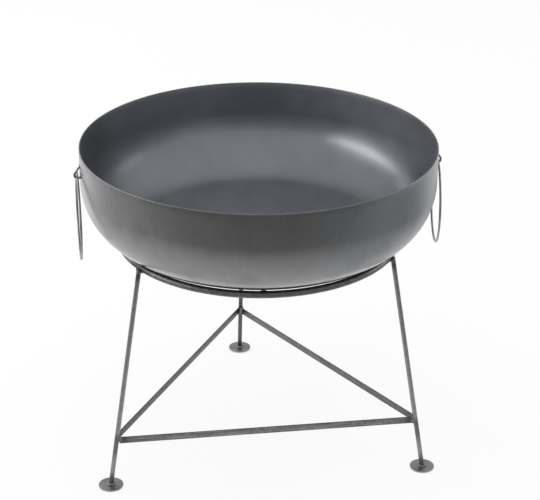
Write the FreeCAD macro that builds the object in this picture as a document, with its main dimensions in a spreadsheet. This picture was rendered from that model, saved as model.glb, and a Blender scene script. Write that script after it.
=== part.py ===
import FreeCAD, Part
import math
import os
import Sketcher

# A steel fire bowl that rests in the hoop of a three-legged stand, with a ring handle on each side.
# Lengths are in millimetres and angles in degrees.
# The origin is on the floor below the middle of the bowl. +Z is up, -Y is the front, +X is the right.
# An angle round the stand is counted from +X towards +Y, as seen from above.

STAND_SIZES = [
    ("hoop_diameter", "474", "centreline of the hoop"),
    ("hoop_height", "390.5", "floor to the hoop's centreline"),
    ("hoop_bar", "12", "thickness of the hoop's round bar"),
    ("leg_bar", "8", "thickness of a leg's round bar"),
    ("leg_outset", "6.2", "how far a leg's centreline passes outside the hoop's centreline"),
    ("back_leg_angle", "97.1", "where the back leg stands"),
    ("foot_circle", "624", "diameter of the circle that the leg ends stand on"),
    ("foot_diameter", "42", "width of a foot disc"),
    ("foot_thickness", "3", "thickness of a foot disc"),
    ("foot_round", "0.6", "rounding of a foot disc's upper edge"),
    ("left_brace_start", "95", "floor to the middle of the left brace at the back leg"),
    ("left_brace_end", "91", "floor to the middle of the left brace at the front left leg"),
    ("front_brace_start", "84", "floor to the middle of the front brace at the front left leg"),
    ("front_brace_end", "91.5", "floor to the middle of the front brace at the front right leg"),
    ("right_brace_start", "92.5", "floor to the middle of the right brace at the front right leg"),
    ("right_brace_end", "92", "floor to the middle of the right brace at the back leg"),
    ("brace_depth", "12", "height of a brace's flat bar, which stands on edge"),
    ("brace_thickness", "2", "thickness of a brace's flat bar"),
    ("cut_overrun", "4", "how far a leg's bar runs past its foot before it is trimmed"),
]

WELD_SIZES = [
    ("foot_weld_width", "16", "foot weld across its base"),
    ("foot_weld_neck", "10.6", "foot weld across its top"),
    ("foot_weld_rise", "5", "height of a foot weld"),
    ("leg_weld_width", "13.2", "leg weld across its top, at the hoop"),
    ("leg_weld_neck", "9", "leg weld across its lower end"),
    ("leg_weld_length", "11", "length of a leg weld along the leg"),
    ("leg_weld_drop", "1.6", "how far a leg weld stops below the end of the leg"),
    ("bump_radius", "2.6", "weld bump on top of the hoop, above a leg"),
    ("bump_angle", "20", "how far the bump lies outside the top of the bar"),
    ("brace_weld_radius", "7.2", "radius of the bead where two braces meet a leg"),
    ("brace_weld_inset", "4.6", "middle of a brace weld inside the leg's centreline"),
    ("low_bead_width", "5.6", "weld round an eye's lower end, across its base"),
    ("high_bead_width", "8.8", "weld round an eye's upper end, across its base"),
    ("bead_neck", "4.4", "either bead across its outer end"),
    ("bead_reach", "2", "either bead out from the wall"),
]

BOWL_SIZES = [
    ("rim_diameter", "600", "outside of the bowl's rim"),
    ("sheet", "2", "thickness of the bowl's sheet"),
    ("wall_height", "57.5", "upright wall, from the rim down to the knuckle"),
    ("knuckle_radius", "113", "outside radius of the knuckle between the wall and the base"),
    ("crown_radius", "735", "outside radius of the shallow base"),
    ("tab_width", "9", "rest tab along the hoop"),
    ("tab_depth", "9", "rest tab across the bar"),
    ("tab_thickness", "0.8", "rest tab between the bar and the bowl"),
    ("front_tab_angle", "272.5", "where the front rest tab stands"),
    ("seat_clearance", "0.3", "bowl above its rest tabs"),
]

HANDLE_SIZES = [
    ("left_handle_angle", "190.4", "where the left handle hangs"),
    ("right_handle_angle", "5.1", "where the right handle hangs"),
    ("left_twist_angle", "-1.5", "how far the left ring hangs out of line with the wall"),
    ("right_twist_angle", "-4.5", "how far the right ring hangs out of line with the wall"),
    ("ring_diameter", "145.4", "centreline of a ring handle"),
    ("ring_wire", "3.8", "thickness of a ring handle"),
    ("wall_play", "2.7", "ring to the bowl's wall"),
    ("eye_play", "0.8", "ring to the upright of its eye"),
    ("hinge_clearance", "0.3", "ring above the lower wire of its eye"),
    ("eye_wire", "3.8", "thickness of an eye's wire"),
    ("eye_drop", "44.3", "rim down to the centreline of an eye's lower wire"),
    ("eye_rise", "23", "an eye's lower wire up to its upper end"),
    ("eye_straight", "6.5", "an eye's lower wire up to the end of its upright"),
    ("eye_bend", "4.2", "bend radius of an eye's wire, at its centreline"),
]

# The stand's three legs, braces and rest tabs are spaced evenly.
THIRD_ANGLE = 120
LEGS = {"back": 0, "front_left": THIRD_ANGLE, "front_right": 2 * THIRD_ANGLE}
TABS = {"front": 0, "right": THIRD_ANGLE, "left": 2 * THIRD_ANGLE}
BRACES = {
    "left": ("back", "front_left"),
    "front": ("front_left", "front_right"),
    "right": ("front_right", "back"),
}
SIDES = ("left", "right")

# What follows from the driving sizes. A row may use the rows above it.
PLACES = [
    ("rim_radius", "sizes.rim_diameter / 2"),
    ("hoop_radius", "sizes.hoop_diameter / 2"),
    ("bar_radius", "sizes.hoop_bar / 2"),
    # The bowl's section is an upright wall, a knuckle arc and a crown arc about the axis.
    ("knuckle_circle", "rim_radius - sizes.knuckle_radius"),
    ("crown_lift", "sqrt((sizes.crown_radius - sizes.knuckle_radius) ^ 2 - knuckle_circle ^ 2)"),
    ("crown_angle", "asin(knuckle_circle / (sizes.crown_radius - sizes.knuckle_radius))"),
    # The bowl sits on tabs on the bar, which touch its knuckle, or its crown if the hoop is small.
    ("seat_reach", "bar_radius + sizes.tab_thickness + sizes.seat_clearance"),
    ("on_knuckle", "hoop_radius > (sizes.crown_radius + seat_reach) * sin(crown_angle) ? 1 : 0"),
    ("contact_circle", "on_knuckle * knuckle_circle"),
    ("contact_span", "seat_reach + (on_knuckle == 1 ? sizes.knuckle_radius : sizes.crown_radius)"),
    ("contact_tilt", "asin((hoop_radius - contact_circle) / contact_span)"),
    ("contact_rise", "contact_span * cos(contact_tilt)"),
    ("knuckle_height", "sizes.hoop_height + contact_rise - (1 - on_knuckle) * crown_lift"),
    ("crown_height", "knuckle_height + crown_lift"),
    ("rim_height", "knuckle_height + sizes.wall_height"),
    # A leg leans from its foot in to the outer side of the hoop.
    ("foot_radius", "sizes.foot_circle / 2"),
    ("leg_top_radius", "hoop_radius + sizes.leg_outset"),
    ("leg_rise", "sizes.hoop_height - sizes.foot_thickness"),
    ("leg_lean", "atan((foot_radius - leg_top_radius) / leg_rise)"),
    ("leg_length", "leg_rise / cos(leg_lean)"),
    # A ring hangs on the lower wire of its eye, between the wall and the eye's upright.
    ("eye_height", "rim_height - sizes.eye_drop"),
    ("eye_root_radius", "rim_radius - sizes.eye_wire / 2"),
    ("hinge_radius", "rim_radius + sizes.wall_play + sizes.ring_wire / 2"),
    ("hinge_height", "eye_height + (sizes.eye_wire + sizes.ring_wire) / 2 + sizes.hinge_clearance"),
    ("eye_reach_radius", "hinge_radius + (sizes.ring_wire + sizes.eye_wire) / 2 + sizes.eye_play"),
    # The eye's upper bend turns its wire from upright to a slope that ends in the wall.
    ("eye_across", "eye_root_radius - eye_reach_radius + sizes.eye_bend"),
    ("eye_up", "sizes.eye_rise - sizes.eye_straight"),
    ("eye_slant", "sqrt(eye_across ^ 2 + eye_up ^ 2)"),
    ("eye_turn", "atan2(eye_up; eye_across) - acos(sizes.eye_bend / eye_slant)"),
    ("eye_top", "eye_height + sizes.eye_rise - sizes.eye_wire / 2 / tan(eye_turn)"),
]

DOC = FreeCAD.newDocument("fire_bowl_on_stand")
NODES = []


def fill_sheet(name, rows):
    """Makes a spreadsheet with a name, a value and a remark in each row."""
    sheet = DOC.addObject("Spreadsheet::Sheet", name)
    for number, (alias, value, remark) in enumerate(rows, 1):
        sheet.set(f"A{number}", alias)
        sheet.set(f"B{number}", value)
        sheet.set(f"C{number}", remark)
        sheet.setAlias(f"B{number}", alias)
    DOC.recompute()
    return sheet


def place(turn, x="0", z="0", tip="0", slope="0", shift=("0", "0", "0")):
    """A placement: turned round the stand's axis, out by x, up by z, tipped outwards, sloped
    sideways and last shifted along its own axes."""
    return (f"placement(vector(0; 0; 0); rotation(vector(0; 0; 1); {turn}))"
            f" * placement(vector({x}; 0; {z}); rotation(vector(0; 1; 0); {tip}))"
            f" * placement(vector(0; 0; 0); rotation(vector(1; 0; 0); {slope}))"
            f" * placement(vector({shift[0]}; {shift[1]}; {shift[2]}); rotation(vector(0; 0; 1); 0))")


def make(kind, name, **sizes):
    """Adds an object whose properties follow expressions."""
    thing = DOC.addObject(kind, name)
    for size, expression in sizes.items():
        thing.setExpression(size, expression)
    return thing


def fuse(name, pieces):
    joined = DOC.addObject("Part::MultiFuse", name)
    joined.Shapes = pieces
    return joined


def trim(name, base, tools):
    """What is left of base outside the tools."""
    result = DOC.addObject("Part::Cut", name)
    result.Base = base
    result.Tool = tools[0] if len(tools) == 1 else fuse(name + "_tools", tools)
    return result


def node(thing, label):
    """Marks a finished piece, which is written under its label."""
    thing.Label = label
    NODES.append(thing)
    return thing


def origin_plane(body, role):
    return next(plane for plane in body.Origin.OriginFeatures if plane.Role == role)


def add_sketch(body, name, role):
    sketch = body.newObject("Sketcher::SketchObject", name)
    sketch.AttachmentSupport = (origin_plane(body, role), [""])
    sketch.MapMode = "FlatFace"
    return sketch


def bind(sketch, name, expression, *constraint):
    """Adds a dimension to a sketch and ties it to an expression."""
    index = sketch.addConstraint(Sketcher.Constraint(*constraint))
    sketch.renameConstraint(index, name)
    sketch.setExpression("Constraints." + name, expression)


def arc(x, y, radius, start, end):
    """An arc in a sketch, from one angle in radians to another, anticlockwise."""
    circle = Part.Circle(FreeCAD.Vector(x, y, 0), FreeCAD.Vector(0, 0, 1), radius)
    return Part.ArcOfCircle(circle, start, end)


def line(x1, y1, x2, y2):
    return Part.LineSegment(FreeCAD.Vector(x1, y1, 0), FreeCAD.Vector(x2, y2, 0))


def leg_turn(name):
    return f"sizes.back_leg_angle + {LEGS[name]}"


def leg_circle(height):
    """How far a leg's centreline is from the stand's axis at a height."""
    return f"(places.foot_radius - ({height} - sizes.foot_thickness) * tan(places.leg_lean))"


def make_hoop():
    hoop = make("Part::Torus", "support_hoop", Radius1="places.hoop_radius", Radius2="places.bar_radius",
                Placement=place("0", z="sizes.hoop_height"))
    return node(hoop, "support_hoop")


def make_foot(name):
    """A disc with a rounded upper edge."""
    body = make("PartDesign::Body", "foot_" + name, Placement=place(leg_turn(name), x="places.foot_radius"))
    sketch = add_sketch(body, "foot_outline_" + name, "XY_Plane")
    radius = float(SIZES.foot_diameter) / 2
    sketch.addGeometry(Part.Circle(FreeCAD.Vector(0, 0, 0), FreeCAD.Vector(0, 0, 1), radius))
    sketch.addConstraint(Sketcher.Constraint("Coincident", 0, 3, -1, 1))
    bind(sketch, "foot_width", "sizes.foot_diameter", "Diameter", 0, 2 * radius)
    disc = body.newObject("PartDesign::Pad", "foot_disc_" + name)
    disc.Profile = sketch
    disc.setExpression("Length", "sizes.foot_thickness")
    DOC.recompute()
    top = float(SIZES.foot_thickness)
    upper = [f"Edge{i}" for i, edge in enumerate(disc.Shape.Edges, 1)
             if all(math.isclose(corner.Z, top) for corner in edge.Vertexes)]
    rounding = body.newObject("PartDesign::Fillet", "foot_rounding_" + name)
    rounding.Base = (disc, upper)
    rounding.setExpression("Radius", "sizes.foot_round")
    body.Tip = rounding
    return node(body, "foot_" + name)


def make_leg(name, hoop):
    """A round bar from the top of its foot, notched where it meets the hoop."""
    turn = leg_turn(name)
    bar = make("Part::Cylinder", "leg_bar_" + name, Radius="sizes.leg_bar / 2",
               Height="places.leg_length + sizes.cut_overrun",
               Placement=place(turn, x="places.foot_radius", z="sizes.foot_thickness", tip="-places.leg_lean",
                               shift=("0", "0", "-sizes.cut_overrun")))
    below = make("Part::Box", "below_leg_" + name, Length="sizes.foot_diameter",
                 Width="sizes.foot_diameter", Height="sizes.foot_diameter",
                 Placement=place(turn, x="places.foot_radius", z="sizes.foot_thickness",
                                 shift=("-sizes.foot_diameter / 2", "-sizes.foot_diameter / 2",
                                        "-sizes.foot_diameter")))
    return node(trim("leg_" + name, bar, [hoop, below]), "leg_" + name)


def make_foot_weld(name, leg):
    """A low cone of weld round the foot of a leg."""
    cone = make("Part::Cone", "foot_cone_" + name, Radius1="sizes.foot_weld_width / 2",
                Radius2="sizes.foot_weld_neck / 2", Height="sizes.foot_weld_rise",
                Placement=place(leg_turn(name), x="places.foot_radius", z="sizes.foot_thickness"))
    return node(trim("foot_weld_" + name, cone, [leg]), "foot_weld_" + name)


def make_leg_weld(name, leg, hoop):
    """Weld that flares from the leg to the hoop, and a bump on top of the bar."""
    turn = leg_turn(name)
    collar = make("Part::Cone", "leg_collar_" + name, Radius1="sizes.leg_weld_neck / 2",
                  Radius2="sizes.leg_weld_width / 2", Height="sizes.leg_weld_length",
                  Placement=place(turn, x="places.leg_top_radius", z="sizes.hoop_height",
                                  tip="-places.leg_lean",
                                  shift=("0", "0", "-sizes.leg_weld_length - sizes.leg_weld_drop")))
    bump = make("Part::Sphere", "leg_bump_" + name, Radius="sizes.bump_radius",
                Placement=place(turn, x="places.hoop_radius", z="sizes.hoop_height", tip="sizes.bump_angle",
                                shift=("0", "0", "places.bar_radius")))
    beads = fuse("leg_beads_" + name, [collar, bump])
    return node(trim("hoop_weld_" + name, beads, [leg, hoop]), "hoop_weld_" + name)


def make_brace(name, legs):
    """A flat bar on edge, along the chord between two legs and coped to them."""
    first, second = BRACES[name]
    start, end = f"sizes.{name}_brace_start", f"sizes.{name}_brace_end"
    turn = f"{leg_turn(first)} + {THIRD_ANGLE} / 2"
    middle = f"({start} + {end}) / 2"
    length = f"2 * {leg_circle(middle)} * sin({THIRD_ANGLE} deg / 2)"
    inset = f"{leg_circle(middle)} * cos({THIRD_ANGLE} deg / 2)"
    bar = make("Part::Box", "brace_bar_" + name, Length="sizes.brace_thickness",
               Width=length, Height="sizes.brace_depth",
               Placement=place(turn, x=inset, z=middle, slope=f"atan(({end} - {start}) / ({length}))",
                               shift=("-sizes.brace_thickness / 2", f"-({length}) / 2",
                                      "-sizes.brace_depth / 2")))
    return node(trim("brace_" + name, bar, [legs[first], legs[second]]), "brace_" + name)


def make_brace_weld(name, leg, braces):
    """Weld in the corner where two braces meet a leg, on both sides of each brace."""
    height = " + ".join(f"sizes.{brace}_brace_{('start', 'end')[ends.index(name)]}"
                        for brace, ends in BRACES.items() if name in ends)
    height = f"({height}) / 2"
    bead = make("Part::Sphere", "brace_bead_" + name, Radius="sizes.brace_weld_radius",
                Placement=place(leg_turn(name), x=leg_circle(height) + " - sizes.brace_weld_inset",
                                z=height, tip="90"))
    meeting = [braces[brace] for brace, ends in BRACES.items() if name in ends]
    return node(trim("brace_weld_" + name, bead, [leg] + meeting), "brace_weld_" + name)


def make_tab(name, hoop):
    """A small block on the bar, square to the bowl where the bowl comes nearest."""
    block = make("Part::Box", "tab_block_" + name, Length="sizes.tab_depth", Width="sizes.tab_width",
                 Height="places.bar_radius + sizes.tab_thickness",
                 Placement=place(f"sizes.front_tab_angle + {TABS[name]}", x="places.hoop_radius",
                                 z="sizes.hoop_height", tip="-places.contact_tilt",
                                 shift=("-sizes.tab_depth / 2", "-sizes.tab_width / 2", "0")))
    return node(trim("rest_tab_" + name, block, [hoop]), "rest_tab_" + name)


def make_bowl():
    """A spun bowl: upright wall with a rounded rim, knuckle and shallow base, all of one sheet."""
    body = DOC.addObject("PartDesign::Body", "fire_bowl")
    section = add_sketch(body, "bowl_section", "XZ_Plane")
    rim, knuckle, top = float(PLACED.rim_radius), float(PLACED.knuckle_circle), float(PLACED.rim_height)
    low, high = float(PLACED.knuckle_height), float(PLACED.crown_height)
    sheet, bend, crown = float(SIZES.sheet), float(SIZES.knuckle_radius), float(SIZES.crown_radius)
    down = -math.pi / 2
    corner = down + math.asin(knuckle / (crown - bend))
    lip = top - sheet / 2
    crown_out, knuckle_out, wall_out, edge, wall_in, knuckle_in, crown_in, middle = section.addGeometry([
        arc(0, high, crown, down, corner),
        arc(knuckle, low, bend, corner, 0),
        line(rim, low, rim, lip),
        arc(rim - sheet / 2, lip, sheet / 2, 0, math.pi),
        line(rim - sheet, lip, rim - sheet, low),
        arc(knuckle, low, bend - sheet, corner, 0),
        arc(0, high, crown - sheet, down, corner),
        line(0, high - crown + sheet, 0, high - crown),
    ])
    start, end, centre = 1, 2, 3
    origin, upright = -1, -2
    for first, first_end, second, second_end in [
        (crown_out, end, knuckle_out, start),
        (knuckle_out, end, wall_out, start),
        (wall_out, end, edge, start),
        (edge, end, wall_in, start),
        (wall_in, end, knuckle_in, end),
        (knuckle_in, start, crown_in, end),
    ]:
        section.addConstraint(Sketcher.Constraint("Tangent", first, first_end, second, second_end))
    for first, first_end, second, second_end in [
        (crown_in, start, middle, start),
        (middle, end, crown_out, start),
        (crown_in, centre, crown_out, centre),
        (knuckle_in, centre, knuckle_out, centre),
    ]:
        section.addConstraint(Sketcher.Constraint("Coincident", first, first_end, second, second_end))
    for curve, point in [(middle, start), (middle, end), (crown_out, centre)]:
        section.addConstraint(Sketcher.Constraint("PointOnObject", curve, point, upright))
    for wall in (wall_out, wall_in):
        section.addConstraint(Sketcher.Constraint("Vertical", wall))
    bind(section, "crown", "sizes.crown_radius", "Radius", crown_out, crown)
    bind(section, "knuckle", "sizes.knuckle_radius", "Radius", knuckle_out, bend)
    bind(section, "edge", "sizes.sheet / 2", "Radius", edge, sheet / 2)
    bind(section, "rim", "places.rim_radius", "DistanceX", origin, start, wall_out, start, rim)
    bind(section, "knuckle_height", "places.knuckle_height",
         "DistanceY", origin, start, wall_out, start, low)
    bind(section, "lip", "places.rim_height - sizes.sheet / 2",
         "DistanceY", origin, start, edge, centre, lip)
    spun = body.newObject("PartDesign::Revolution", "bowl_spinning")
    spun.Profile = section
    spun.ReferenceAxis = (section, ["V_Axis"])
    spun.Angle = 360
    body.Tip = spun
    return node(body, "fire_bowl")


def make_eye(side, core):
    """A bent wire with both ends on the wall: level below, upright outside and sloping back above."""
    turn = f"sizes.{side}_handle_angle"
    body = make("PartDesign::Body", "eye_wire_" + side, Placement=place(turn))
    path = add_sketch(body, "eye_path_" + side, "XZ_Plane")
    root, reach = float(PLACED.eye_root_radius), float(PLACED.eye_reach_radius)
    foot, rise = float(PLACED.eye_height), float(SIZES.eye_rise)
    straight, bend = float(SIZES.eye_straight), float(SIZES.eye_bend)
    turned = math.radians(PLACED.eye_turn.Value)
    slope_x = reach - bend + bend * math.cos(turned)
    slope_z = foot + straight + bend * math.sin(turned)
    lower, lower_bend, upright, upper_bend, slope = path.addGeometry([
        line(root, foot, reach - bend, foot),
        arc(reach - bend, foot + bend, bend, -math.pi / 2, 0),
        line(reach, foot + bend, reach, foot + straight),
        arc(reach - bend, foot + straight, bend, 0, turned),
        line(slope_x, slope_z, root, foot + rise),
    ])
    start, end, origin = 1, 2, -1
    run = [lower, lower_bend, upright, upper_bend, slope]
    for first, second in zip(run, run[1:]):
        path.addConstraint(Sketcher.Constraint("Tangent", first, end, second, start))
    path.addConstraint(Sketcher.Constraint("Horizontal", lower))
    path.addConstraint(Sketcher.Constraint("Vertical", upright))
    bind(path, "lower_bend", "sizes.eye_bend", "Radius", lower_bend, bend)
    bind(path, "upper_bend", "sizes.eye_bend", "Radius", upper_bend, bend)
    bind(path, "root", "places.eye_root_radius", "DistanceX", origin, start, lower, start, root)
    bind(path, "foot", "places.eye_height", "DistanceY", origin, start, lower, start, foot)
    bind(path, "reach", "places.eye_reach_radius", "DistanceX", origin, start, upright, start, reach)
    bind(path, "straight", "sizes.eye_straight", "DistanceY", lower, start, upright, end, straight)
    bind(path, "upper_root", "places.eye_root_radius", "DistanceX", origin, start, slope, end, root)
    bind(path, "rise", "sizes.eye_rise", "DistanceY", lower, start, slope, end, rise)
    # The wire's section stands on the bowl's wall, where the lower run starts.
    wire = add_sketch(body, "eye_section_" + side, "YZ_Plane")
    wire.setExpression("AttachmentOffset.Base.z", "places.eye_root_radius")
    radius = float(SIZES.eye_wire) / 2
    wire.addGeometry(Part.Circle(FreeCAD.Vector(0, foot, 0), FreeCAD.Vector(0, 0, 1), radius))
    wire.addConstraint(Sketcher.Constraint("PointOnObject", 0, 3, -2))
    bind(wire, "wire", "sizes.eye_wire", "Diameter", 0, 2 * radius)
    bind(wire, "foot", "places.eye_height", "DistanceY", origin, start, 0, 3, foot)
    swept = body.newObject("PartDesign::AdditivePipe", "eye_sweep_" + side)
    swept.Profile = wire
    swept.Spine = path
    body.Tip = swept
    return node(trim(side + "_handle_eye", body, [core]), side + "_handle_eye")


def make_eye_welds(side, eye, core):
    """A bead of weld round each end of the eye, trimmed by the wire and by the wall."""
    turn = f"sizes.{side}_handle_angle"
    beads = [
        make("Part::Cone", f"{end}_bead_{side}", Radius1=f"sizes.{end}_bead_width / 2",
             Radius2="sizes.bead_neck / 2", Height="sizes.eye_wire / 2 + sizes.bead_reach",
             Placement=place(turn, x="places.eye_root_radius", z=height, tip="90"))
        for end, height in [("low", "places.eye_height"), ("high", "places.eye_top")]
    ]
    both = fuse("eye_beads_" + side, beads)
    return node(trim(side + "_eye_welds", both, [eye.Base, core]), side + "_eye_welds")


def make_ring(side):
    """A ring of wire that hangs from its eye and swings about its own topmost wire."""
    hanging = place(f"sizes.{side}_handle_angle", x="places.hinge_radius", z="places.hinge_height")
    turned = f"placement(vector(0; 0; 0); rotation(vector(0; 0; 1); sizes.{side}_twist_angle))"
    lowered = "placement(vector(0; 0; -sizes.ring_diameter / 2); rotation(vector(0; 1; 0); 90))"
    ring = make("Part::Torus", side + "_ring_handle", Radius1="sizes.ring_diameter / 2",
                Radius2="sizes.ring_wire / 2", Placement=f"{hanging} * {turned} * {lowered}")
    return node(ring, side + "_ring_handle")


def make_stand():
    hoop = make_hoop()
    legs = {}
    for name in LEGS:
        make_foot(name)
        legs[name] = make_leg(name, hoop)
        make_foot_weld(name, legs[name])
        make_leg_weld(name, legs[name], hoop)
    braces = {name: make_brace(name, legs) for name in BRACES}
    for name in LEGS:
        make_brace_weld(name, legs[name], braces)
    for name in TABS:
        make_tab(name, hoop)


def make_bowl_and_handles():
    make_bowl()
    core = make("Part::Cylinder", "wall_core", Radius="places.rim_radius", Height="sizes.wall_height",
                Placement=place("0", z="places.knuckle_height"))
    for side in SIDES:
        eye = make_eye(side, core)
        make_eye_welds(side, eye, core)
        make_ring(side)


def check_model():
    """Stops if any object failed or any finished piece is empty or faulty."""
    for thing in DOC.Objects:
        if {"Invalid", "Error"} & set(thing.State):
            raise RuntimeError(f"{thing.Label} failed: {thing.State}")
    for piece in NODES:
        if piece.Shape.isNull() or not piece.Shape.isValid() or not piece.Shape.Solids:
            raise RuntimeError(f"{piece.Label} has no sound solid")


def write_pieces():
    os.makedirs("parts", exist_ok=True)
    for piece in NODES:
        piece.Shape.exportStep(os.path.join("parts", piece.Label + ".step"))
        box = piece.Shape.BoundBox
        print(f"{piece.Label}: {len(piece.Shape.Solids)} solid(s), {piece.Shape.Volume:.1f} mm3, "
              f"z {box.ZMin:.2f} to {box.ZMax:.2f}")


SIZES = fill_sheet("sizes", STAND_SIZES + WELD_SIZES + BOWL_SIZES + HANDLE_SIZES)
PLACED = fill_sheet("places", [(name, "=" + formula, "worked out") for name, formula in PLACES])
make_stand()
make_bowl_and_handles()
DOC.recompute()
check_model()
write_pieces()
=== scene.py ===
import math
import random

import bmesh
import bpy
from mathutils import Matrix, Vector


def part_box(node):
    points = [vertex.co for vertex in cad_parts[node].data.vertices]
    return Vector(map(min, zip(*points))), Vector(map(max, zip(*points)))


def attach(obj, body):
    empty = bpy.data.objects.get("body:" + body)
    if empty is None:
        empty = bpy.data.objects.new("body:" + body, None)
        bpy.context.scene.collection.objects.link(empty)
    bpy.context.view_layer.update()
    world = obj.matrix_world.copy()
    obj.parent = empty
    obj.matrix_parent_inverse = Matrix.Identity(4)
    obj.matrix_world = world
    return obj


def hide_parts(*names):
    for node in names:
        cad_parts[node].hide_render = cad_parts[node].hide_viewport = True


# A spun steel fire bowl with two ring handles, lying in the hoop of a three-legged stand.
# Lengths are in metres and angles in degrees. +Z is up, -Y is the front, and the origin is
# on the floor below the middle of the bowl.

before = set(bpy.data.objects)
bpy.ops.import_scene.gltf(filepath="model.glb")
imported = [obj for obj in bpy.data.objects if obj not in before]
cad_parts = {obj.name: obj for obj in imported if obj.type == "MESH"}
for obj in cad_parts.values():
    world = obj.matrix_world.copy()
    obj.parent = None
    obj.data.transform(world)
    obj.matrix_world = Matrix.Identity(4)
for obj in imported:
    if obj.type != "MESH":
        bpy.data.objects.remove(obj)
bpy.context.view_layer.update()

# The stand
HOOP_RADIUS = 0.237
HOOP_HEIGHT = 0.3905
HOOP_BAR = 0.012
LEG_BAR = 0.008
LEG_OUTSET = 0.0062
LEG_TOP_RADIUS = HOOP_RADIUS + LEG_OUTSET
FOOT_CIRCLE_RADIUS = 0.312
FOOT_DIAMETER = 0.042
FOOT_THICKNESS = 0.003
BRACE_DEPTH = 0.012
BRACE_THICKNESS = 0.002
LEG_ANGLES = {"back": 97.1, "front_left": 217.1, "front_right": 337.1}
BRACE_ANGLES = {"left": 157.1, "front": 277.1, "right": 37.1}
HALF_BAY = 180 / len(LEG_ANGLES)
# The height of a brace's middle at its first leg and at its second, going round anticlockwise.
BRACE_ENDS = {"left": (0.095, 0.091), "front": (0.084, 0.0915), "right": (0.0925, 0.092)}
BRACE_WELD_HEIGHTS = {
    "back": (BRACE_ENDS["right"][1] + BRACE_ENDS["left"][0]) / 2,
    "front_left": (BRACE_ENDS["left"][1] + BRACE_ENDS["front"][0]) / 2,
    "front_right": (BRACE_ENDS["front"][1] + BRACE_ENDS["right"][0]) / 2,
}
BRACE_HEIGHT = sum(BRACE_WELD_HEIGHTS.values()) / len(BRACE_WELD_HEIGHTS)
TAB_ANGLES = {"front": 272.5, "right": 32.5, "left": 152.5}
TAB_WIDTH = 0.009
TAB_DEPTH = 0.009
TAB_RISE = 0.0008
SEAT_CLEARANCE = 0.0003
LEG_LEAN = math.degrees(math.atan2(FOOT_CIRCLE_RADIUS - LEG_TOP_RADIUS, HOOP_HEIGHT - FOOT_THICKNESS))


def leg_circle(height):
    """How far a leg's centreline is from the stand's axis at a height."""
    return FOOT_CIRCLE_RADIUS - (height - FOOT_THICKNESS) * math.tan(math.radians(LEG_LEAN))


BRACE_CIRCLE_RADIUS = leg_circle(BRACE_HEIGHT)

# The bowl
RIM_RADIUS = 0.300
RIM_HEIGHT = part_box("fire_bowl")[1].z
SHEET = 0.002
WALL = 0.0575
KNUCKLE_RADIUS = 0.113
KNUCKLE_CIRCLE = RIM_RADIUS - KNUCKLE_RADIUS
KNUCKLE_HEIGHT = RIM_HEIGHT - WALL
CROWN_RADIUS = 0.735
CROWN_HEIGHT = KNUCKLE_HEIGHT + math.sqrt((CROWN_RADIUS - KNUCKLE_RADIUS) ** 2 - KNUCKLE_CIRCLE ** 2)
CROWN_ANGLE = math.degrees(math.asin(KNUCKLE_CIRCLE / (CROWN_RADIUS - KNUCKLE_RADIUS)))
SEAT_REACH = HOOP_BAR / 2 + TAB_RISE + SEAT_CLEARANCE + KNUCKLE_RADIUS
TAB_TILT = math.degrees(math.asin((HOOP_RADIUS - KNUCKLE_CIRCLE) / SEAT_REACH))

# The handles
WIRE = 0.0038
HANDLE_ANGLES = {"left": 190.4, "right": 5.1}
RING_TWISTS = {"left": -1.5, "right": -4.5}
RING_RADIUS = 0.0727
RING_WALL_GAP = 0.0027
RING_HINGE_RADIUS = RIM_RADIUS + RING_WALL_GAP + WIRE / 2
RING_HINGE_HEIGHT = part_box("left_ring_handle")[1].z - WIRE / 2
EYE_ROOT_RADIUS = RIM_RADIUS - WIRE / 2
EYE_BELOW_RIM = 0.0443
EYE_HEIGHT = RIM_HEIGHT - EYE_BELOW_RIM
EYE_RISE = 0.023
EYE_STRAIGHT = 0.0065
EYE_BEND = 0.0042
EYE_CLEARANCE = 0.0008
EYE_REACH_RADIUS = RING_HINGE_RADIUS + WIRE + EYE_CLEARANCE

# How finely round shapes are drawn
BOWL_SIDES, CROWN_STEPS, KNUCKLE_STEPS, WALL_STEPS, LIP_STEPS = 288, 22, 36, 6, 8
BAR_SIDES, HOOP_STEPS, LEG_STEPS, BRACE_STEPS, FOOT_SIDES = 32, 240, 24, 16, 72
WIRE_SIDES, RING_STEPS, EYE_STEPS, EYE_UPPER_STEPS = 24, 120, 12, 10

# How far cut edges are eased
CUT_BEVEL = 0.0004
BRACE_BEVEL = 0.00035
FOOT_UPPER_BEVEL = 0.0006
FOOT_LOWER_BEVEL = 0.0002

# Points nearer to each other than this are one point.
MERGE_GAP = 1e-6

# Edges sharper than these angles stay sharp: on cut pieces, on bent or spun ones, and on welds.
CUT_EDGE, ROUND_EDGE, WELD_EDGE = 40, 60, 80


# Modelling by hand: short names for the steps that repeat

def begin(add, name, **values):
    """Adds a primitive, with nothing else selected."""
    bpy.ops.object.select_all(action="DESELECT")
    add(**values)
    piece = bpy.context.object
    piece.name = piece.data.name = name
    return piece


def choose(piece):
    """Makes a piece the active one, and the only one selected."""
    bpy.ops.object.select_all(action="DESELECT")
    bpy.context.view_layer.objects.active = piece
    piece.select_set(True)


def edit(piece):
    """Opens a piece in edit mode with all of it selected."""
    choose(piece)
    bpy.ops.object.mode_set(mode="EDIT")
    bpy.ops.mesh.select_all(action="SELECT")


def leave():
    """Merges doubles, turns the faces outwards and goes back to object mode."""
    bpy.ops.mesh.select_all(action="SELECT")
    bpy.ops.mesh.remove_doubles(threshold=MERGE_GAP)
    bpy.ops.mesh.normals_make_consistent(inside=False)
    bpy.ops.object.mode_set(mode="OBJECT")


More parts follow.
